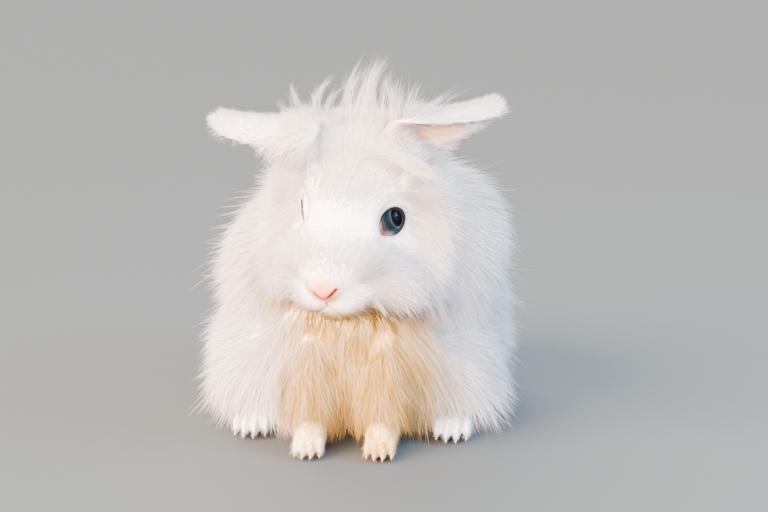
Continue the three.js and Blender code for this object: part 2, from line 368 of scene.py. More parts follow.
# The slits of the nose and the mouth as seen from in front of the face
SLIT_HALF_WIDTH, SLIT_DEPTH = 0.75, 1.7
LIP_HALF_WIDTH, LIP_DEPTH = 0.6, 1.3
NOSTRIL = {
    "left": [(0, -27.8), (3.2, -25.6), (7.0, -21.0)],
    "right": [(0, -27.8), (2.4, -26.0), (4.4, -23.4)],
}
PHILTRUM = [(0, -27.5), (0, -35.5)]
MOUTH = [(0, -35.5), (4, -39.5), (9, -42.5), (14, -44.0)]


def line_distance(x, z, points):
    least = None
    for (ax, az), (bx, bz) in zip(points, points[1:]):
        dx, dz = bx - ax, bz - az
        t = np.clip(((x - ax) * dx + (z - az) * dz) / (dx * dx + dz * dz), 0, 1)
        far = np.hypot(x - ax - t * dx, z - az - t * dz)
        least = far if least is None else np.minimum(least, far)
    return least


def lean(hx, hy):
    """The muzzle leans a little to the rabbit's right"""
    return hx + 2.2 * smooth(-hy, 12, 38)


def face_lines(hx, hy, hz):
    """Distances on the face to the nostrils' slits, and to the lines of the lip and the mouth"""
    hx = lean(hx, hy)
    slit = np.where(
        hx > 0, line_distance(hx, hz, NOSTRIL["left"]), line_distance(-hx, hz, NOSTRIL["right"])
    ) + np.maximum(hy + 36, 0)
    lip = np.minimum(
        line_distance(np.abs(hx), hz, PHILTRUM), line_distance(np.abs(hx), hz, MOUTH)
    ) + np.maximum(hy + 24, 0)
    return slit, lip


def head(x, y, z):
    hx, hy, hz = in_head(x, y, z)
    mx = lean(hx, hy)
    face = run_together(mx, hy, hz, SKULL, 8) + FUR_DEPTH
    face = melt(face, run_together(mx, hy, hz, MUZZLE, 6) + FUR_DEPTH, 10)
    made = melt(face, run_together(hx, hy, hz, HEAD_WOOL, 12) + HEAD_WOOL_DEPTH, 10)
    for side in SIDES:
        root = 1 - smooth(ear_place(hx, hy, hz, side)[3], 2, 22)
        made = melt(made, ear(hx, hy, hz, side), 4 + 10 * root)
    for side in SIDES:
        axis, fore, up = eye_axes(side)
        hollow = eye_centre(side) + axis * HOLLOW_OUT - fore * HOLLOW_BACK
        made = carve(made, blob(hx, hy, hz, hollow, [EYE_HOLLOW[side]] * 3), 7)
        far, off, angle = eye_place(hx, hy, hz, side)
        made = melt(made, far - EYE_RADIUS - LID_THICKNESS, 3)
        gap = far * np.radians(off - lid_opening(angle, side))
        gap = np.maximum(np.maximum(gap, far - LID_REACH), EYE_RADIUS - SOCKET_DEPTH - far)
        made = carve(made, gap, LID_EDGE)
    slit, lip = face_lines(hx, hy, hz)
    made = carve(made, np.maximum(slit - SLIT_HALF_WIDTH, -made - SLIT_DEPTH), 0.5)
    made = carve(made, np.maximum(lip - LIP_HALF_WIDTH, -made - LIP_DEPTH), 0.6)
    return made


def torso(x, y, z):
    return run_together(x, y, z, TORSO, 20) + WOOL_DEPTH


def tail(x, y, z):
    return run_together(x, y, z, TAIL, 8) + HEAD_WOOL_DEPTH


def limbs(x, y, z):
    made = None
    for fore, hind in LIMBS.values():
        for masses in (fore, hind):
            limb = run_together(x, y, z, masses, 3) + FUR_DEPTH
            made = limb if made is None else np.minimum(made, limb)
    return made


# Each mass of flesh with the box that it lies in, so that no more is worked out than is needed
REGIONS = [
    (torso, (-95, -95, 0), (95, 145, 170)),
    (tail, (-30, 95, 20), (30, 150, 100)),
    (limbs, (-80, -105, -2), (80, 45, 72)),
    (head, (-100, -125, 40), (100, 5, 201)),
]
FILLETS = (None, 14, 6, 12)


def skin_field(x, y, z, inside=None):
    """How far a point lies outside the skin, in millimetres"""
    made = None
    for (field, low, high), fillet in zip(REGIONS, FILLETS):
        if inside is None:
            d = field(x, y, z)
        else:
            d = inside(field, low, high)
        made = d if made is None else melt(made, d, fillet)
    return np.maximum(made, 0.4 - z)


def graded(*stops):
    """Grid lines between stops, each pair with its own spacing: (from, spacing), ..., end"""
    lines = []
    for (start, spacing), end in zip(stops[:-1], [s[0] for s in stops[1:-1]] + [stops[-1]]):
        count = max(1, round((end - start) / spacing))
        lines += list(start + (end - start) * np.arange(count) / count)
    return np.array(lines + [stops[-1]], np.float32)


grid = (
    graded((-97, 1.8), (-32, 1.0), (-14, 0.55), (1, 0.95), (35, 1.8), 97),
    graded((-122, 1.0), (-104, 0.6), (-88, 0.9), (-52, 1.3), (-30, 4.0), 145),
    graded((-1.0, 1.5), (17, 3.4), (80, 1.2), (86, 0.6), (102, 0.95), (142, 1.3), 200),
)


def field_on_grid(xs, ys, zs):
    x, y, z = xs[:, None, None], ys[None, :, None], zs[None, None, :]

    def inside(field, low, high):
        made = np.full((len(xs), len(ys), len(zs)), 60.0, np.float32)
        cut = [
            slice(*np.searchsorted(line, (lo, hi)))
            for line, lo, hi in zip((xs, ys, zs), low, high)
        ]
        if all(c.stop > c.start for c in cut):
            made[tuple(cut)] = field(x[cut[0]], y[:, cut[1]], z[:, :, cut[2]])
        return made

    return skin_field(x, y, z, inside)


values = np.concatenate(
    [field_on_grid(part, *grid[1:]) for part in np.array_split(grid[0], 12)]
).astype(np.float32)


def net(values, lines):
    """The surface where the field on a grid is nought: a point in each cell that it passes
    through, and a four-sided face across each grid edge that it cuts"""
    inside = values < 0
    cells = [inside[a : a - 1 or None, b : b - 1 or None, c : c - 1 or None]
             for a in (0, 1) for b in (0, 1) for c in (0, 1)]
    full, some = cells[0].copy(), cells[0].copy()
    for cell in cells[1:]:
        full &= cell
        some |= cell
    index = np.argwhere(some & ~full)
    number = np.full(full.shape, -1, np.int64)
    number[tuple(index.T)] = np.arange(len(index))
    total, hits = np.zeros((len(index), 3)), np.zeros(len(index))
    for axis in range(3):
        others = [a for a in range(3) if a != axis]
        for b in (0, 1):
            for c in (0, 1):
                start = index.copy()
                start[:, others[0]] += b
                start[:, others[1]] += c
                end = start.copy()
                end[:, axis] += 1
                v0, v1 = values[tuple(start.T)], values[tuple(end.T)]
                cut = (v0 < 0) != (v1 < 0)
                t = np.where(cut, v0 / np.where(cut, v0 - v1, 1), 0)
                place = np.stack([line[start[:, k]] for k, line in enumerate(lines)], axis=1)
                place[:, axis] += t * (lines[axis][end[:, axis]] - place[:, axis])
                total += place * cut[:, None]
                hits += cut
    points = total / hits[:, None]
    faces = []
    for axis in range(3):
        u, v = (axis + 1) % 3, (axis + 2) % 3
        head_end = [slice(None)] * 3
        tail_end = [slice(None)] * 3
        head_end[axis], tail_end[axis] = slice(1, None), slice(None, -1)
        a, b = inside[tuple(tail_end)], inside[tuple(head_end)]
        edges = np.argwhere(a != b)
        edges = edges[(edges[:, u] > 0) & (edges[:, v] > 0)]
        outwards = a[tuple(edges.T)]
        around = []
        for du, dv in ((-1, -1), (0, -1), (0, 0), (-1, 0)):
            cell = edges.copy()
            cell[:, u] += du
            cell[:, v] += dv
            around.append(number[tuple(cell.T)])
        quad = np.stack(around, axis=1)
        quad[~outwards] = quad[~outwards][:, ::-1]
        faces.append(quad)
    return points, np.concatenate(faces)


def slope_of(field, p, step=0.05):
    """The field and its outward slope at points"""
    here = field(*p.T)
    ahead = [field(*(p + np.eye(3)[k] * step).T) for k in range(3)]
    return here, np.stack([(a - here) / step for a in ahead], axis=1)


def unit(v):
    return v / np.maximum(np.linalg.norm(v, axis=-1, keepdims=True), 1e-9)


skin_points, skin_quads = net(values, grid)
for _ in range(3):
    here, slope = slope_of(skin_field, skin_points)
    step = here[:, None] * slope / np.maximum((slope**2).sum(axis=1, keepdims=True), 0.2)
    skin_points -= np.clip(step, -0.4, 0.4)
skin_normals = unit(slope_of(skin_field, skin_points, 0.2)[1])


def mesh_of(name, points, faces, uv=None, maps=None):
    """A mesh from millimetres in the body's frame. Faces are arrays of corners, three or four each.
    Maps are named values at each point."""
    mesh = bpy.data.meshes.new(name)
    mesh.vertices.add(len(points))
    mesh.vertices.foreach_set("co", (points / 1000 + ORIGIN).astype(np.float32).ravel())
    corners = np.concatenate([f.ravel() for f in faces]).astype(np.int32)
    sizes = np.concatenate([np.full(len(f), f.shape[1]) for f in faces])
    mesh.loops.add(len(corners))
    mesh.loops.foreach_set("vertex_index", corners)
    mesh.polygons.add(len(sizes))
    mesh.polygons.foreach_set("loop_start", (np.cumsum(sizes) - sizes).astype(np.int32))
    mesh.update(calc_edges=True)
    mesh.shade_smooth()
    if uv is not None:
        layer = mesh.uv_layers.new(name="OFBake")
        layer.data.foreach_set("uv", uv[corners].astype(np.float32).ravel())
    for key, value in (maps or {}).items():
        layer = mesh.color_attributes.new(key, "FLOAT_COLOR", "POINT")
        colour = np.ones((len(points), 4), np.float32)
        colour[:, : value.shape[1]] = value
        layer.data.foreach_set("color", colour.ravel())
    return object_of(name, mesh)


def markings(p):
    """The coat's colours at points: the stained bib with tan painted shade under the chin and the
    cheeks, bare pink skin, dark red slits deepened with painted shade, painted shade on the skin
    inside the lids, and the peach lining of the ears"""
    x, y, z = p.T
    hx, hy, hz = in_head(x, y, z)
    bib = np.sqrt(((x - 9) / 54) ** 2 + ((y + 84) / 60) ** 2 + ((z - 38) / 52) ** 2)
    stain_and_shade = (1 - smooth(bib, 0.55, 1.12)) * 0.7
    # Tan painted shade under the chin and under the cheeks, laid over the bib's real stain
    throat_shade = np.exp(-(((hz + 50) / 11) ** 2)) * smooth(-hy, -4, 16)
    throat_shade *= 1 - smooth(np.abs(hx), 24, 44)
    jowl_shade = np.exp(-(((hx + 32) / 16) ** 2) - ((hz + 44) / 9) ** 2) * smooth(-hy, -10, 8)
    stain_and_shade = np.clip(np.maximum(stain_and_shade, np.maximum(throat_shade, jowl_shade)), 0, 1)
    slit, lip = face_lines(hx, hy, hz)
    nose = np.sqrt((lean(hx, hy) / 9) ** 2 + ((hy + 43) / 10) ** 2 + ((hz + 23) / 8.5) ** 2)
    pink = (1 - smooth(nose, 0.4, 1.5)) * 0.95
    pink = np.maximum(pink, np.exp(-((slit / 2.1) ** 2)))
    pink = np.maximum(pink, 0.9 * np.exp(-((lip / 1.0) ** 2)) * (hz > -36.5))
    # The slits are painted dark red: their own colour, deepened as painted shade in the groove
    dark_red_and_shade = np.exp(-((slit / 1.25) ** 2))
    lining = np.zeros(len(p))
    for side in SIDES:
        far, off, angle = eye_place(hx, hy, hz, side)
        rim = np.exp(-(((off - lid_opening(angle, side)) / 6) ** 2)) * (far < 10.5)
        corner = smooth(np.cos(np.radians(angle - 335)), 0.4, 0.97)
        pink = np.maximum(pink, (0.1 + 0.35 * corner) * rim)
        # The skin inside the lids, round the eyeball, is painted dark: painted shade in the socket
        dark_red_and_shade = np.maximum(dark_red_and_shade, 0.55 * (off < lid_opening(angle, side) + 2) * (far < 9.3))
        across, t, inwards, l = ear_place(hx, hy, hz, side)
        half = EAR_WIDTH / 2 * np.sqrt(np.clip(1 - (2 * t - 1) ** 2, 0.004, 1)) ** 0.55
        near_ear = (np.abs(inwards) < 3.5) & (l > -2) & (l < EAR_LENGTH + 3)
        inner = smooth(inwards, 0.1, 0.9) * (1 - smooth(np.abs(across) / half, 0.62, 0.9))
        lining = np.maximum(lining, inner * near_ear * (1 - smooth(t, 0.62, 0.85)))
    return np.stack([stain_and_shade, pink, dark_red_and_shade, lining], axis=1)


# On most of the skin the short fur under the wool shows only as fine bumps. The colours are those
#  of the coat, with bare skin on the nose and the lids, made a little darker all over as painted
#  shade under the fur.
WHITE = (0.96, 0.895, 0.86, 1)
CREAM = (0.71, 0.43, 0.10, 1)
TAN_AND_SHADE = (0.24, 0.13, 0.012, 1)
PINK = (0.95, 0.27, 0.08, 1)
SLIT_RED_AND_SHADE = (0.22, 0.02, 0.006, 1)
PEACH = (0.90, 0.54, 0.37, 1)
STAIN_STREAKS, STAIN_LEAST, STAIN_MOST = (170, 170, 38), 0.6, 1.15
UNDER_FUR_SHADE, SKIN_ROUGHNESS = 0.93, 0.62
GRAIN_SCALE, GRAIN_STRENGTH, GRAIN_HEIGHT = 1900, 0.35, 0.0003


def ramp(tree, fac, stops):
    """A colour that runs through stops, each a place from 0 to 1 and the colour there"""
    made = node(tree, "ValToRGB", {"Fac": fac})
    elements = made.color_ramp.elements
    while len(elements) < len(stops):
        elements.new(0.5)
    for element, (place, colour) in zip(elements, stops):
        element.position, element.color = place, colour
    return made.outputs["Color"]


def coat_colour(tree):
    """The markings as a colour: white, stained with cream, tan painted shade under the chin, peach
    in the ears, pink where bare, and dark red in the slits and inside the lids, partly painted
    shade
    """
    marks = node(tree, "Attribute", {}, attribute_name="marks")
    parts = node(tree, "SeparateColor", {"Color": marks.outputs["Color"]})
    place = node(tree, "TexCoord", {}).outputs["Object"]
    streaks = node(tree, "Mapping", {"Vector": place, "Scale": STAIN_STREAKS}).outputs["Vector"]
    noise = node(tree, "TexNoise", {"Vector": streaks, "Scale": 1.0, "Detail": 3.0})
    uneven = node(tree, "MapRange", {
        "Value": noise.outputs["Fac"], "From Min": 0.3, "From Max": 0.7,
        "To Min": STAIN_LEAST, "To Max": STAIN_MOST,
    })
    amounts = {0: parts.outputs["Red"], 1: uneven.outputs["Result"]}
    stain_and_shade = node(tree, "Math", amounts, operation="MULTIPLY", use_clamp=True)
    # Cream is the bib's stain; the tan at the top of the ramp is mostly painted shade under the
    # chin
    colour = ramp(tree, stain_and_shade.outputs["Value"], ((0, WHITE), (0.62, CREAM), (1, TAN_AND_SHADE)))
    for amount, tone in (
        (marks.outputs["Alpha"], PEACH),
        (parts.outputs["Green"], PINK),
        (parts.outputs["Blue"], SLIT_RED_AND_SHADE),
    ):
        mix = node(tree, "Mix", {"Factor": amount, "A": colour, "B": tone}, data_type="RGBA")
        colour = mix.outputs["Result"]
    return colour


skin_paint, tree, surface = shader("skin")
shade = {0: coat_colour(tree), "Scale": UNDER_FUR_SHADE}
painted_shade_under_fur = node(tree, "VectorMath", shade, operation="SCALE")
place = node(tree, "TexCoord", {}).outputs["Object"]
grain = node(tree, "TexNoise", {"Vector": place, "Scale": GRAIN_SCALE, "Detail": 4})
bump = node(tree, "Bump", {
    "Height": grain.outputs["Fac"], "Strength": GRAIN_STRENGTH, "Distance": GRAIN_HEIGHT
})
feed(tree, surface, {
    "Base Color": painted_shade_under_fur.outputs["Vector"],
    "Roughness": SKIN_ROUGHNESS,
    "Normal": bump.outputs["Normal"],
})

skin_marks = markings(skin_points)
skin = mesh_of("skin", skin_points, [skin_quads], maps={"marks": skin_marks})
skin.data.materials.append(skin_paint)
FLESH = ["head", "neck", "chest", "trunk", "tail"]
for side in SIDES:
    FLESH += [f"{piece}_{side}" for piece in ("ear", "foreleg", "forefoot", "thigh", "hind_foot")]
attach(skin, "root")
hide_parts(*FLESH)


# Eyes. Each is a ball whose iris and pupil lie a little below a clear, wet cornea. It looks
# outwards and, as the nose is held low, upwards in the head, so that it keeps level.
GAZE_UP, GAZE_FORE = 26, -27
IRIS_ANGLE, PUPIL_ANGLE = 76, 46


def eye_direction(side, fore_degrees, up_degrees):
    axis, fore, up = eye_axes(side)
    off = math.radians(math.hypot(fore_degrees, up_degrees))
    sideways = unit(fore * fore_degrees + up * up_degrees)
    return math.cos(off) * axis + math.sin(off) * sideways


def between_rings(count, sides, closed=False):
    """The four-sided faces between rings of points, each ring joined to the next one"""
    i = np.arange(count if closed else count - 1)[:, None] * sides
    j = (i + sides) % (count * sides)
    k = np.arange(sides)
    n = (k + 1) % sides
    return np.stack([i + k, j + k, j + n, i + n], axis=-1).reshape(-1, 4)


def ball(name, side, radius_at):
    """A closed ball round an eye's line of sight, and a map of it laid out flat from the pupil"""
    rings, around = 40, 56
    sight = unit(eye_direction(side, GAZE_FORE, GAZE_UP))
    right = unit(np.cross(sight, (0, 0, 1.0)))
    up = np.cross(right, sight)
    off = np.linspace(0, math.pi, rings + 1)[1:-1]
    turns = np.arange(around) / around * 2 * math.pi
    o, a = np.meshgrid(off, turns, indexing="ij")
    o, a = o.ravel()[:, None], a.ravel()[:, None]
    away = sight * np.cos(o) + np.sin(o) * (right * np.cos(a) + up * np.sin(a))
    front, back = sight[None] * radius_at(0.0), -sight[None] * radius_at(180.0)
    points = np.concatenate([front, away * radius_at(np.degrees(o)), back])
    laid_out = 0.5 + 0.5 * np.hstack([np.cos(a), np.sin(a)]) * o / math.pi
    flat = np.concatenate([[[0.5, 0.5]], laid_out, [[1.0, 0.5]]])
    k = np.arange(around)
    n = (k + 1) % around
    quads = 1 + between_rings(rings - 1, around)
    last = 1 + (rings - 2) * around
    caps = np.concatenate(
        [np.stack([np.zeros_like(k), 1 + k, 1 + n], axis=1),
         np.stack([np.full_like(k, len(points) - 1), last + n, last + k], axis=1)]
    )
    made = mesh_of(name, on_head(points + eye_centre(side)), [quads, caps])
    layer = made.data.uv_layers.new(name="iris")
    corners = np.empty(len(made.data.loops), np.int32)
    made.data.loops.foreach_get("vertex_index", corners)
    layer.data.foreach_set("uv", flat[corners].astype(np.float32).ravel())
    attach(made, "root")
    return made


def iris_depth(off):
    rim = smooth(IRIS_ANGLE + 2 - off, 0, 9)
    hole = smooth(PUPIL_ANGLE - off, -1, 3)
    return EYE_RADIUS - 0.12 - 0.45 * rim - 0.4 * hole


def cornea_height(off):
    return EYE_RADIUS + 0.25 * smooth(IRIS_ANGLE + 4 - off, 0, 26)


# Degrees from the line of sight, and the colour there: pupil, pale inner ring, dark iris, and the
# white of the eye, painted dark as painted shade under the lids
EYE_BANDS = [
    (PUPIL_ANGLE - 1.5, (0.002, 0.002, 0.003, 1)),
    (PUPIL_ANGLE + 1.0, (0.014, 0.021, 0.025, 1)),
    (PUPIL_ANGLE + 3.5, (0.022, 0.031, 0.036, 1)),
    (PUPIL_ANGLE + 6.5, (0.009, 0.019, 0.021, 1)),
    (PUPIL_ANGLE + 10, (0.003, 0.010, 0.011, 1)),
    (IRIS_ANGLE - 4, (0.003, 0.009, 0.010, 1)),
    (IRIS_ANGLE + 4, (0.02, 0.02, 0.02, 1)),
    (IRIS_ANGLE + 24, (0.045, 0.033, 0.034, 1)),
]
IRIS_WOBBLE, IRIS_ROUGHNESS, BRIGHTEST_PAINTED_LIGHT = 0.014, 0.5, 5.0
CORNEA_ROUGHNESS, CORNEA_GLOSS = 0.16, 0.006

eye_paint, tree, surface = shader("iris")
flat_map = node(tree, "UVMap", {}, uv_map="iris").outputs["UV"]
centred = node(tree, "VectorMath", {0: flat_map, 1: (0.5, 0.5, 0)}, operation="SUBTRACT")
centred = centred.outputs["Vector"]
far = node(tree, "VectorMath", {0: centred}, operation="LENGTH").outputs["Value"]
compass = node(tree, "VectorMath", {0: centred}, operation="NORMALIZE").outputs["Vector"]
rays = node(tree, "TexNoise", {"Vector": compass, "Scale": 7, "Detail": 5}).outputs["Fac"]
wobble = node(tree, "Math", {0: rays, 1: IRIS_WOBBLE, 2: far}, operation="MULTIPLY_ADD")
stops = [(degrees / 360 + IRIS_WOBBLE / 2, colour) for degrees, colour in EYE_BANDS]
bands = ramp(tree, wobble.outputs["Value"], stops)
# The lower part of the eye is painted up to five times paler: painted light on the lower iris and
# the white below it
height = node(tree, "SeparateXYZ", {"Vector": centred}).outputs["Y"]
painted_light_below = node(tree, "MapRange", {
    "Value": height, "From Min": -0.07, "From Max": -0.17, "To Min": 1.0, "To Max": BRIGHTEST_PAINTED_LIGHT
})
shade = {0: bands, "Scale": painted_light_below.outputs["Result"]}
shaded = node(tree, "VectorMath", shade, operation="SCALE")
feed(tree, surface, {
    "Base Color": shaded.outputs["Vector"],
    "Roughness": IRIS_ROUGHNESS,
    "Specular IOR Level": 0.0,
})

cornea_paint, tree, surface = shader("cornea")
tree.nodes.remove(surface)
clear = node(tree, "BsdfTransparent", {}).outputs["BSDF"]
gloss = node(tree, "BsdfGlossy", {"Roughness": CORNEA_ROUGHNESS}).outputs["BSDF"]
wet = node(tree, "MixShader", {"Fac": CORNEA_GLOSS, 1: clear, 2: gloss})
feed(tree, tree.nodes["Material Output"], {"Surface": wet.outputs["Shader"]})

for side in SIDES:
    eyeball = ball(f"eyeball_{side}", side, iris_depth)
    eyeball.data.materials.append(eye_paint)
    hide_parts(f"eye_{side}")
    cornea = ball(f"cornea_{side}", side, cornea_height)
    cornea.data.materials.append(cornea_paint)


# Lid rims. The hairless edge of each lid lies on the eyeball, dark above and pink below, where it
# runs forward into the corner of the eye.
def tube(path, radii, sides, closed, middle=None):
    """A tube along a path, closed into a ring or with its ends drawn in. Its radii are across the
    path and out from its middle."""
    count = len(path)
    ahead = np.roll(path, -1, axis=0) - np.roll(path, 1, axis=0)
    if not closed:
        ahead[0], ahead[-1] = path[1] - path[0], path[-1] - path[-2]
    ahead = unit(ahead)
    middle = path.mean(axis=0) if middle is None else middle
    across = unit(np.cross(ahead, path - middle + 1e-6))
    out = np.cross(across, ahead)
    angle = np.arange(sides) / sides * 2 * math.pi
    rings = path[:, None] + (
        np.cos(angle)[None, :, None] * (radii[:, :1] * across)[:, None]
        + np.sin(angle)[None, :, None] * (radii[:, -1:] * out)[:, None]
    )
    return rings.reshape(-1, 3), between_rings(count, sides, closed)


RIM_SIDES, RIM_CORNER = 8, 333
RIM_DARK, RIM_PINK = np.array([0.012, 0.010, 0.011]), np.array([0.26, 0.12, 0.13])
RIM_ROUGHNESS, RIM_GLOSS = 0.6, 0.12

rim_paint, tree, surface = shader("lid_rim")
tint = node(tree, "Attribute", {}, attribute_name="marks").outputs["Color"]
feed(tree, surface, {
    "Base Color": tint, "Roughness": RIM_ROUGHNESS, "Specular IOR Level": RIM_GLOSS
})
for side in SIDES:
    angle = np.arange(120) * 3.0
    axis, fore, up = eye_axes(side)
    off = np.radians(lid_opening(angle, side) - 2.2)[:, None]
    a = np.radians(angle)[:, None]
    path = eye_centre(side) + EYE_RADIUS * (
        axis * np.cos(off) + np.sin(off) * (fore * np.cos(a) + up * np.sin(a))
    )
    low = smooth(np.cos(np.radians(angle - RIM_CORNER)), 0.45, 0.97)
    radii = np.stack([0.28 + 0.5 * low, 1.15 - 0.1 * low], axis=1)
    points, quads = tube(on_head(path), radii, RIM_SIDES, True, on_head(eye_centre(side)))
    tone = RIM_DARK + low[:, None] * (RIM_PINK - 0.011)
    marks = {"marks": np.repeat(tone, RIM_SIDES, axis=0)}
    rim = mesh_of(f"lid_rim_{side}", points, [quads], maps=marks)
    rim.data.materials.append(rim_paint)
    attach(rim, "root")


# The coat. Each hair that is seen stands for a few of the real ones: a thin closed blade with three
# sides, rooted in the skin and drawn to a point. Blades lie along the coat, cling together in
# locks, and bend down at their tips under their own weight.
quad_loops = np.arange(len(skin_quads) * 4).reshape(-1, 4)
tris = np.concatenate([skin_quads[:, [0, 1, 2]], skin_quads[:, [0, 2, 3]]])
tri_loops = np.concatenate([quad_loops[:, [0, 1, 2]], quad_loops[:, [0, 2, 3]]])
corner = skin_points[tris]
tri_area = np.linalg.norm(
    np.cross(corner[:, 1] - corner[:, 0], corner[:, 2] - corner[:, 0]), axis=1
) / 2
order = np.argsort(np.tile(np.arange(len(skin_quads)), 2), kind="stable")
tris, tri_loops, tri_area = tris[order], tri_loops[order], tri_area[order]

# The skin is cut up and laid out flat once, and each blade takes its colours from its root there.
bpy.context.view_layer.objects.active = skin
skin.select_set(True)
skin.data.uv_layers.new(name="OFBake")
bpy.ops.object.mode_set(mode="EDIT")
bpy.ops.mesh.select_all(action="SELECT")
bpy.ops.uv.smart_project(angle_limit=math.radians(66), island_margin=0.002)
bpy.ops.object.mode_set(mode="OBJECT")
skin_uv = np.empty(len(skin.data.loops) * 2, np.float32)
skin.data.uv_layers["OFBake"].data.foreach_get("uv", skin_uv)
skin_uv = skin_uv.reshape(-1, 2)

px, py, pz = skin_points.T
hx, hy, hz = in_head(px, py, pz)
ear_near = np.minimum(*[ear(hx, hy, hz, side) for side in SIDES])
face_near = melt(
    run_together(hx, hy, hz, SKULL, 8), run_together(hx, hy, hz, MUZZLE, 4), 7
) + FUR_DEPTH
wool_near = run_together(hx, hy, hz, HEAD_WOOL, 12) + HEAD_WOOL_DEPTH
body_near = [mass(px, py, pz) for mass in (torso, tail, limbs)]
shares = np.stack([*body_near, face_near, wool_near, ear_near], axis=1)
shares = np.exp(-np.clip(shares, -5, 60) / 1.5)
shares /= shares.sum(axis=1, keepdims=True)
ON_TORSO, ON_TAIL, ON_LIMB, ON_FACE, ON_HEAD_WOOL, ON_EAR = range(6)
crown = shares[:, ON_HEAD_WOOL] * smooth(hz, 14, 34)
ruff = shares[:, ON_HEAD_WOOL] * smooth(-hz, -8, 14)
from_nose = np.stack([hx, hy + 46, hz + 27], axis=1)
nose_far = np.linalg.norm(from_nose, axis=1)
eye_far = np.minimum(*[eye_place(hx, hy, hz, side)[0] for side in SIDES])

# The short fur of the face grows out into wool on the cheeks, the temples and the forehead. The
# ring of skin round the eyes stays short.
grown = np.maximum(smooth(nose_far, 11, 30) * smooth(-hz, -2, 14), smooth(hz, 2, 34))
grown = np.maximum(grown, smooth(np.abs(hx), 17, 30) * smooth(nose_far, 28, 52))
grown = shares[:, ON_FACE] * grown * smooth(eye_far, 10.5, 24)
upper_leg = shares[:, ON_LIMB] * smooth(pz, 13, 32)

# Length in millimetres, degrees of lift off the skin, half width, and how far the tip bends down
TORSO_COAT = (24, 13, 0.15, 0.24)
TAIL_COAT = (15, 34, 0.18, 0.05)
LIMB_COAT = (4.6, 17, 0.15, 0.0)
FACE_COAT = (4.4, 14, 0.11, 0.03)
HEAD_WOOL_COAT = (16, 24, 0.135, 0.22)
EAR_COAT = (5.0, 32, 0.13, 0.0)
coats = np.array([TORSO_COAT, TAIL_COAT, LIMB_COAT, FACE_COAT, HEAD_WOOL_COAT, EAR_COAT])
coat_length, coat_lift, coat_width, coat_droop = (shares @ coats).T
coat_length = coat_length - 5 * crown + 9 * grown + 11 * upper_leg
coat_lift = coat_lift + 8 * crown + 7 * grown + 5 * upper_leg
coat_width = coat_width + 0.03 * grown + 0.03 * upper_leg
coat_droop = coat_droop - 0.2 * crown + 0.15 * grown + 0.2 * upper_leg
coat_length = coat_length * (0.5 + 0.5 * smooth(eye_far, 9, 27))
coat_lift = coat_lift + 8 * (1 - smooth(eye_far, 10, 20))
hem = shares[:, ON_TORSO] * smooth(-py, 30, 50) * (1 - smooth(pz, 24, 50))
coat_length = coat_length + 6 * hem
bare = skin_marks[:, 1]
coat_length = coat_length * (1 - 0.7 * smooth(bare * (face_near < 2), 0.15, 0.7))

front = smooth(-py, 42, 60) * smooth(-skin_normals[:, 1], 0.0, 0.6)
torso_lie = np.stack([0.25 * px / 60, np.ones_like(px), -0.95 * np.ones_like(px)], axis=1)
torso_lie = torso_lie * (1 - front[:, None]) + front[:, None] * np.stack(
    [0.18 * px / 40, 0 * px, -np.ones_like(px)], axis=1
)
coat_lift = coat_lift * (1 - 0.4 * front)
face_lie = unit(unit(from_nose) @ HEAD_TURN.T + grown[:, None] * np.array([0, 0, -0.35]))
wool_lie = unit(unit(from_nose) @ HEAD_TURN.T + ruff[:, None] * np.array([0, 0.1, -0.9]))
wool_lie = wool_lie * (1 - crown[:, None]) + crown[:, None] * unit(
    np.stack([hx / 22, (hy - 8) / 26, 0.4 + 0 * hz], axis=1) @ HEAD_TURN.T
)
behind = smooth(skin_normals @ HEAD_TURN[:, 1], 0.15, 0.8)[:, None]
wool_lie = wool_lie * (1 - behind) + behind * np.array([0, 0.3, -1])
ear_lie = np.zeros_like(skin_points)
for side in SIDES:
    nearer = ear(hx, hy, hz, side) < 3
    across, t, inwards, l = ear_place(hx, hy, hz, side)
    across_axis, along_axis, opening_axis = ear_axes(side)
    edge = smooth(np.abs(across) / EAR_WIDTH * 2, 0.55, 0.85) * nearer * shares[:, ON_EAR]
    rear = (across * across_axis[1] > 0) if side == "left" else np.ones(len(t), bool)
    fringe = edge * (1 - smooth(t, 0.32, 0.62)) * np.where(rear, 1, 0.25)
    way = along_axis + across_axis * (0.012 * across)[:, None]
    way = way + opening_axis * (1.3 * fringe)[:, None]
    ear_lie[nearer] = (way @ HEAD_TURN.T)[nearer]
    root = nearer * shares[:, ON_EAR] * (1 - smooth(t, 0.12, 0.42)) * (inwards < 0.5) * (1 - edge)
    tip = nearer * shares[:, ON_EAR] * smooth(t, 0.72, 0.95)
    coat_length = coat_length + 7 * fringe + 8 * root + 1.2 * tip
    coat_lift = coat_lift + 6 * root + 14 * tip
limb_lie = np.stack([0 * px, -0.35 - smooth(-pz, -22, -12), -0.2 - smooth(pz, 10, 24)], axis=1)
tail_lie = np.broadcast_to([0, 0.35, 1.0], skin_points.shape)
lies = np.stack([torso_lie, tail_lie, limb_lie, face_lie, wool_lie, ear_lie], axis=1)
coat_lie = (lies * shares[:, :, None]).sum(axis=1)
for side in SIDES:
    far, off, angle = eye_place(hx, hy, hz, side)
    near_eye = np.exp(-((np.maximum(far - 9, 0) / 3.5) ** 2))[:, None]
    from_eye = np.stack([hx, hy, hz], axis=1) - eye_centre(side)
    away = unit(from_eye - 5 * eye_axes(side)[0]) @ HEAD_TURN.T
    coat_lie = coat_lie * (1 - near_eye) + near_eye * (away + 0.5 * coat_lie)

# Slow waves that turn the lie of the coat a little from place to place
WAVES = np.random.default_rng(31).normal(0, 1, (7, 3)) * 2 * math.pi / 75

# A blade stands no further than this outside the box of the solids, in metres, and takes up a
# patch of the unwrapped skin of this size.
FARTHEST_OUT, PATCH_SIZE = 0.0125, 0.003

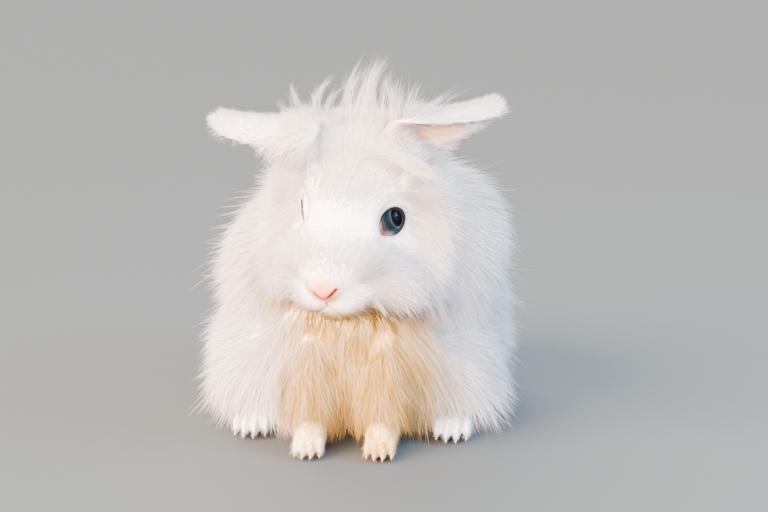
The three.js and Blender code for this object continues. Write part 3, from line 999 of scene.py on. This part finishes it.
# Shares of a blade's length with its thickness there, and how thick it is for its width
BLADE_SWELL, BLADE_FLATNESS = ([0, 0.35, 0.7, 1], [0.7, 1, 0.72, 0.2]), 0.6

# How deep a blade is rooted in the skin and how far it stays off the floor, in millimetres
ROOT_DEPTH, FLOOR_GAP = 0.4, 0.6


def blades(name, path, normal, root_uv, marks, half, rng):
    """One mesh of closed three-sided blades along paths of points, shaded softly like the skin"""
    place = path / 1000 + ORIGIN
    low, high = np.array(cad_box) + np.array([[-FARTHEST_OUT], [FARTHEST_OUT]])
    keep = ((place > low) & (place < high)).all(axis=(1, 2))
    path, normal, root_uv, marks, half = (v[keep] for v in (path, normal, root_uv, marks, half))
    count, segments = len(path), path.shape[1] - 1
    ahead = unit(path[:, 1:] - path[:, :-1])
    ahead = np.concatenate([ahead[:, :1], unit(ahead[:, 1:] + ahead[:, :-1])], axis=1)
    flat = unit(np.cross(ahead, normal[:, None]))
    thin = np.cross(ahead, flat)
    swell = np.interp(np.arange(segments) / segments, *BLADE_SWELL)
    angle = np.radians([-30, 90, 210])
    ring = flat[:, :, None] * np.cos(angle)[:, None]
    ring = ring + BLADE_FLATNESS * thin[:, :, None] * np.sin(angle)[:, None]
    points = path[:, :-1, None] + ring * (half[:, None] * swell)[:, :, None, None]
    points = np.concatenate([points.reshape(count, -1, 3), path[:, -1:]], axis=1)
    facing = unit(0.25 * ring + normal[:, None, None]).reshape(count, -1, 3)
    facing = np.concatenate([facing, normal[:, None]], axis=1)
    each = 3 * segments + 1
    first = np.arange(count)[:, None] * each
    j, n = np.arange(3), np.array([1, 2, 0])
    bands = np.concatenate(
        [np.stack([3 * k + j, 3 * k + n, 3 * k + 3 + n, 3 * k + 3 + j], axis=1)
         for k in range(segments - 1)]
    )
    last = 3 * (segments - 1)
    ends = np.concatenate([np.stack([last + j, last + n, 0 * j + each - 1], axis=1), [[0, 2, 1]]])
    along = np.append(np.repeat(np.arange(segments) / segments, 3), 1.0)
    aside = np.append(np.tile([1.0, 0.5, 0.0], segments), 0.5)
    uv = root_uv[:, None] + PATCH_SIZE * (np.stack([aside, along], axis=1) - 0.5)[None]
    tone = np.broadcast_to(rng.random((count, 1)), (count, each))
    strand = np.stack([tone, np.broadcast_to(along, (count, each))], axis=2)
    made = mesh_of(
        name,
        points.reshape(-1, 3),
        [(first[:, :, None] + bands).reshape(-1, 4), (first[:, :, None] + ends).reshape(-1, 3)],
        uv=np.clip(uv, 0, 1).reshape(-1, 2),
        maps={"marks": np.repeat(marks, each, axis=0), "strand": strand.reshape(-1, 2)},
    )
    made.data.normals_split_custom_set_from_vertices(facing.reshape(-1, 3).astype(np.float32))
    made.data.materials.append(coat_paint)
    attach(made, "root")


def tree_of(points):
    """The points arranged so that the nearest one to any place is quickly found"""
    made = KDTree(len(points))
    for i, point in enumerate(points):
        made.insert(point, i)
    made.balance()
    return made


def grow(name, thickness, count, seed, segments=2, length=1.0, width=1.0, lift=1.0,
         bunch=14, cling=0.28, curl=0.13):
    """A piece of the coat: blades grown from the skin, more of them where it is thicker. Bunch is
    how many share a leader, cling how closely they follow it, and curl how much each one bends."""
    rng = np.random.default_rng(seed)
    total = np.cumsum(tri_area * thickness[tris].mean(axis=1))
    pick = (np.arange(count) + rng.random(count)) / count * total[-1]
    face = np.minimum(np.searchsorted(total, pick), len(tris) - 1)
    share = rng.dirichlet((1, 1, 1), count)

    def at(values):
        return (values[tris[face]] * share.reshape(count, 3, *[1] * (values.ndim - 1))).sum(axis=1)

    root, normal = at(skin_points), unit(at(skin_normals))
    root_uv = (skin_uv[tri_loops[face]] * share[:, :, None]).sum(axis=1)
    lie = at(coat_lie)
    lie = unit(lie - normal * (lie * normal).sum(axis=1, keepdims=True))
    swing = (rng.normal(0, 0.3, count) + 0.13 * np.sin(root @ WAVES.T).sum(axis=1))[:, None]
    lie = lie * np.cos(swing) + np.cross(normal, lie) * np.sin(swing)
    raised = np.radians(at(coat_lift) * lift * rng.normal(1, 0.25, count))[:, None]
    start = lie * np.cos(raised) + normal * np.sin(raised)
    long = at(coat_length) * length * rng.uniform(0.62, 1.2, count)
    bend = rng.normal(0, curl, (count, 3)) + np.array([0, 0, -1]) * at(coat_droop)[:, None]
    s = np.linspace(0, 1, segments + 1)[None, :, None]
    path = root[:, None] - ROOT_DEPTH * normal[:, None] + long[:, None, None] * (
        s * start[:, None] + s * s * bend[:, None]
    )
    leaders = rng.choice(count, max(2, count // bunch), replace=False)
    leader_tree = tree_of(root[leaders])
    own = leaders[np.array([leader_tree.find(r)[1] for r in root])]
    path += cling * s**1.3 * rng.uniform(0.5, 1.0, (count, 1, 1)) * (path[own] - path)
    path[:, :, 2] = np.maximum(path[:, :, 2], FLOOR_GAP + 0.3 * rng.random((count, 1)))
    keep = np.ones(count, bool)
    x, y, z = in_head(*path[:, 1:].reshape(-1, 3).T)
    for side in SIDES:
        far, off, angle = eye_place(x, y, z, side)
        over = (off < lid_opening(angle, side) - 2) & (far < 15)
        keep &= ~over.reshape(count, segments).any(axis=1)
    slit, lip = face_lines(x, y, z)
    keep &= ~((slit < 0.9) | (lip < 0.6)).reshape(count, segments).any(axis=1)
    half = at(coat_width) * width * rng.uniform(0.7, 1.3, count)
    marks = at(skin_marks) * (1, 0.8, 0, 1)
    blades(name, path[keep], normal[keep], root_uv[keep], marks[keep], half[keep], rng)


# Hairs differ a little in tone, and half the light goes through them.
HAIR_TONES, HAIR_ROUGHNESS, HAIR_GLOSS, HAIR_CLEAR = (0.90, 1.03), 0.7, 0.25, 0.5

coat_paint, tree, surface = shader("coat")
strand = node(tree, "Attribute", {}, attribute_name="strand").outputs["Color"]
parts = node(tree, "SeparateColor", {"Color": strand})
tone = node(tree, "MapRange", {
    "Value": parts.outputs["Red"], "To Min": HAIR_TONES[0], "To Max": HAIR_TONES[1]
})
shade = {0: coat_colour(tree), "Scale": tone.outputs["Result"]}
toned = node(tree, "VectorMath", shade, operation="SCALE").outputs["Vector"]
feed(tree, surface, {
    "Base Color": toned, "Roughness": HAIR_ROUGHNESS, "Specular IOR Level": HAIR_GLOSS
})
through = node(tree, "BsdfTranslucent", {"Color": toned}).outputs["BSDF"]
both_ways = node(tree, "MixShader", {"Fac": HAIR_CLEAR, 1: surface.outputs["BSDF"], 2: through})
feed(tree, tree.nodes["Material Output"], {"Surface": both_ways.outputs["Shader"]})

on_torso, on_face, on_wool = shares[:, ON_TORSO], shares[:, ON_FACE], shares[:, ON_HEAD_WOOL]
bib = on_torso * smooth(-py, 38, 52) * smooth(-skin_normals[:, 1], -0.1, 0.4)
rest = on_torso - bib
left, right, back = smooth(px, -5, 30), smooth(-px, -5, 30), smooth(py, 50, 80)
grow("wool_left", rest * left * (1 - back), 16000, 1)
grow("wool_right", rest * right * (1 - back), 16000, 2)
grow("wool_rump", rest * (back + (1 - back) * (1 - np.clip(left + right, 0, 1))), 15000, 3)
grow("wool_bib", bib + 0.7 * upper_leg * (py < -40), 10500, 4, segments=3, width=1.15,
     cling=0.55, bunch=26, curl=0.18)
grow("wool_crown", on_wool * smooth(hz, 2, 16), 12000, 5)
grow("wool_ruff", on_wool * smooth(-hz, -16, -2), 14500, 6)
grow("wool_cheeks", grown, 11500, 12)
grow("fur_face", (on_face - 0.85 * grown) * (1 + 2.5 * (1 - smooth(eye_far, 10, 22))), 16500, 7,
     cling=0.3, bunch=8, curl=0.05)
grow("fur_ears", shares[:, ON_EAR] * (1 - 0.8 * skin_marks[:, 3]), 12500, 8, cling=0.3,
     bunch=8, curl=0.08)
grow("fur_feet", shares[:, ON_LIMB], 5000, 9, length=1.25, cling=0.3, bunch=8, curl=0.05)
grow("wool_tail", shares[:, ON_TAIL], 4000, 10)
grow("wool_wisps", (on_torso + 0.6 * on_wool) * smooth(pz, 30, 85), 2200, 11, segments=4,
     length=1.05, width=0.6, lift=1.9, bunch=4, cling=0.4, curl=0.24)


# Locks. On the crown long hairs stand up in pointed locks, one lock hangs over the left eye, the
# cheeks end in soft points, and whiskers grow from the lips. Each lock is a root, a tip, how far
# it bows, its hairs and its breadth, in the head's frame.
skin_tree = tree_of(skin_points)
point_uv = np.zeros((len(skin_points), 2))
point_uv[skin_quads.ravel()] = skin_uv

CROWN_LOCKS = [
    ((-30, 20, 40), (-36.9, 24, 59), (-2, 0, 3), 52, 3.0),
    ((-24, 20, 42), (-27, 24, 55), (2, 0, 1), 36, 2.4),
    ((-22, 20, 42), (-12.9, 26, 64.8), (-5, 0, 2), 68, 3.2),
    ((-18, 20, 42), (-8, 26, 60), (-3, 0, 1), 44, 2.6),
    ((-6, 22, 44), (3.8, 27, 74.9), (-4, 0, 1), 80, 3.4),
    ((-2, 22, 44), (8, 27, 66), (-3, 0, 1), 52, 2.6),
    ((4, 22, 44), (17.4, 28, 83.4), (-5, 0, 0), 120, 4.0),
    ((8, 22, 44), (9.5, 27, 71.4), (-2, 0, 1), 60, 2.6),
    ((12, 22, 44), (19.5, 27, 76), (-3, 0, -1), 24, 2.0),
    ((19, 20, 42), (14.7, 24, 69.6), (2, 0, 2), 60, 2.8),
    ((21, 20, 42), (22.2, 24, 70.4), (-1, 0, 2), 40, 2.4),
    ((23, 20, 42), (25.5, 24, 64.3), (-1, 0, 2), 44, 2.4),
    ((26, 20, 40), (33.3, 24, 67.6), (-3, 0, 0), 68, 3.2),
    ((28, 20, 40), (36, 26, 69.7), (-2, 0, 0), 16, 2.0),
    ((30, 20, 38), (56.5, 26, 65.1), (-1, 0, 4), 32, 2.2),
    ((29, 20, 38), (47, 26, 60), (-1, 0, 3), 28, 2.2),
    ((-36, 20, 34), (-44, 22, 50), (-1, 0, 2), 32, 2.4),
]


def locks(name, plan, seed, half, segments=4, loose=1.0):
    """Hairs from roots close together, drawn to one point each lock, some ending short of it"""
    rng = np.random.default_rng(seed)
    paths, found = [], []
    for root, tip, bow, hairs, breadth in plan:
        root, tip, bow = (np.array(v, float) for v in (root, tip, bow))
        starts = on_head(root + rng.normal(0, breadth, (hairs, 3)))
        nearest = np.array([skin_tree.find(start)[1] for start in starts])
        ends = np.sqrt(rng.uniform(0.3, 1.0, hairs))[:, None, None]
        s = np.linspace(0, 1, segments + 1)[None, :, None]
        u = s * ends
        middle = on_head(root * (1 - u) + tip * u + bow * 4 * u * (1 - u))
        pull = 1 - (1 - s) ** 1.7
        stray = rng.normal(0, 0.05, (hairs, 1, 3)) * np.linalg.norm(tip - root) * s * s * loose
        side = rng.normal(0, 0.3 * breadth, (hairs, 1, 3)) * s * (1.25 - s)
        paths.append(skin_points[nearest][:, None] * (1 - pull) + middle * pull + stray + side)
        found.append(nearest)
    path, found = np.concatenate(paths), np.concatenate(found)
    thick = half * rng.uniform(0.6, 1.3, len(path))
    marks = skin_marks[found] * (1, 0, 0, 0)
    blades(name, path, skin_normals[found], point_uv[found], marks, thick, rng)


BROW_LOCKS = [
    ((12, 5, 42), (49.3, 6, 19.5), (2, -6, 3.0), 460, 4.6),
    ((16, 4, 40), (45, 6, 24), (3, -6, 3.5), 240, 4.0),
    ((9, 5, 42), (36, 4, 29), (2, -5, 2.0), 140, 4.0),
]
locks("locks_crown", CROWN_LOCKS, 21, 0.085, loose=1.3)
locks("lock_brow", BROW_LOCKS, 22, 0.11)

CHEEK_LOCKS = []
for s, rise in ((1, 0), (-1, 8)):
    for root, tip, bow in (
        ((41, -2, -40), (53, -8, -64), (3, -3, 0)),
        ((44, 4, -42), (54, -3, -58), (3, -2, 0)),
        ((36, -8, -40), (48, -13, -57), (3, -3, 0)),
        ((29, -14, -37), (43, -20, -51), (2, -3, 0)),
        ((22, -20, -33), (36, -26, -46), (2, -3, 0)),
        ((15, -26, -30), (28, -31, -44), (2, -2, 0)),
    ):
        (rx, ry, rz), (tx, ty, tz), (bx, by, bz) = root, tip, bow
        CHEEK_LOCKS.append(((s * rx, ry, rz), (s * tx, ty, tz + rise), (s * bx, by, bz), 110, 3.6))
locks("locks_cheek", CHEEK_LOCKS, 24, 0.1, loose=1.2)

whiskers = []
for s in SIDES.values():
    for i in range(9):
        row, place = divmod(i, 3)
        root = np.array([s * (8 + 3 * place), -40 + 4 * place, -28 - 2.6 * row])
        tip = root + np.array([s * (17 + 3 * place), 2 - 2 * row, -2.0 - 5 * row])
        whiskers.append((root, tip, (0, -1, 1.5), 1, 0.2))
locks("whiskers", whiskers, 23, 0.07, segments=5, loose=0.3)


# Claws. Four on each foot, horn, curved down from the end of each toe and all but hidden in fur.
CLAW_REACH, CLAW_RINGS, CLAW_SIDES = 1.9, 7, 10
CLAW_RADII = 0.85 * np.array([0.9, 1.0, 0.95, 0.82, 0.62, 0.38, 0.1])
CLAW_COLOUR, CLAW_ROUGHNESS = (0.46, 0.34, 0.27, 1), 0.38
claw_paint, tree, surface = shader("claw")
feed(tree, surface, {"Base Color": CLAW_COLOUR, "Roughness": CLAW_ROUGHNESS})
claw_points, claw_quads, claw_ends = [], [], []
for side in SIDES:
    for (x, y, z), (_, toe_length, _) in [*FORE_TOES[side], *HIND_TOES[side]]:
        s = np.linspace(0, 1, CLAW_RINGS)
        path = np.stack(
            [x + 0 * s, y - toe_length + 3.5 - (CLAW_REACH + 2) * s, 4.0 - 0.6 * s - 1.4 * s * s],
            axis=1,
        )
        points, quads = tube(path, CLAW_RADII[:, None], CLAW_SIDES, False)
        base = sum(len(p) for p in claw_points)
        tip = base + (CLAW_RINGS - 1) * CLAW_SIDES
        claw_points.append(points)
        claw_quads.append(quads + base)
        fan = np.arange(1, CLAW_SIDES - 1)
        claw_ends.append(np.stack([0 * fan, fan + 1, fan], axis=1) + base)
        claw_ends.append(np.stack([0 * fan, fan, fan + 1], axis=1) + tip)
claw_faces = [np.concatenate(claw_quads), np.concatenate(claw_ends)]
claws = mesh_of("claws", np.concatenate(claw_points), claw_faces)
claws.data.materials.append(claw_paint)
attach(claws, "root")
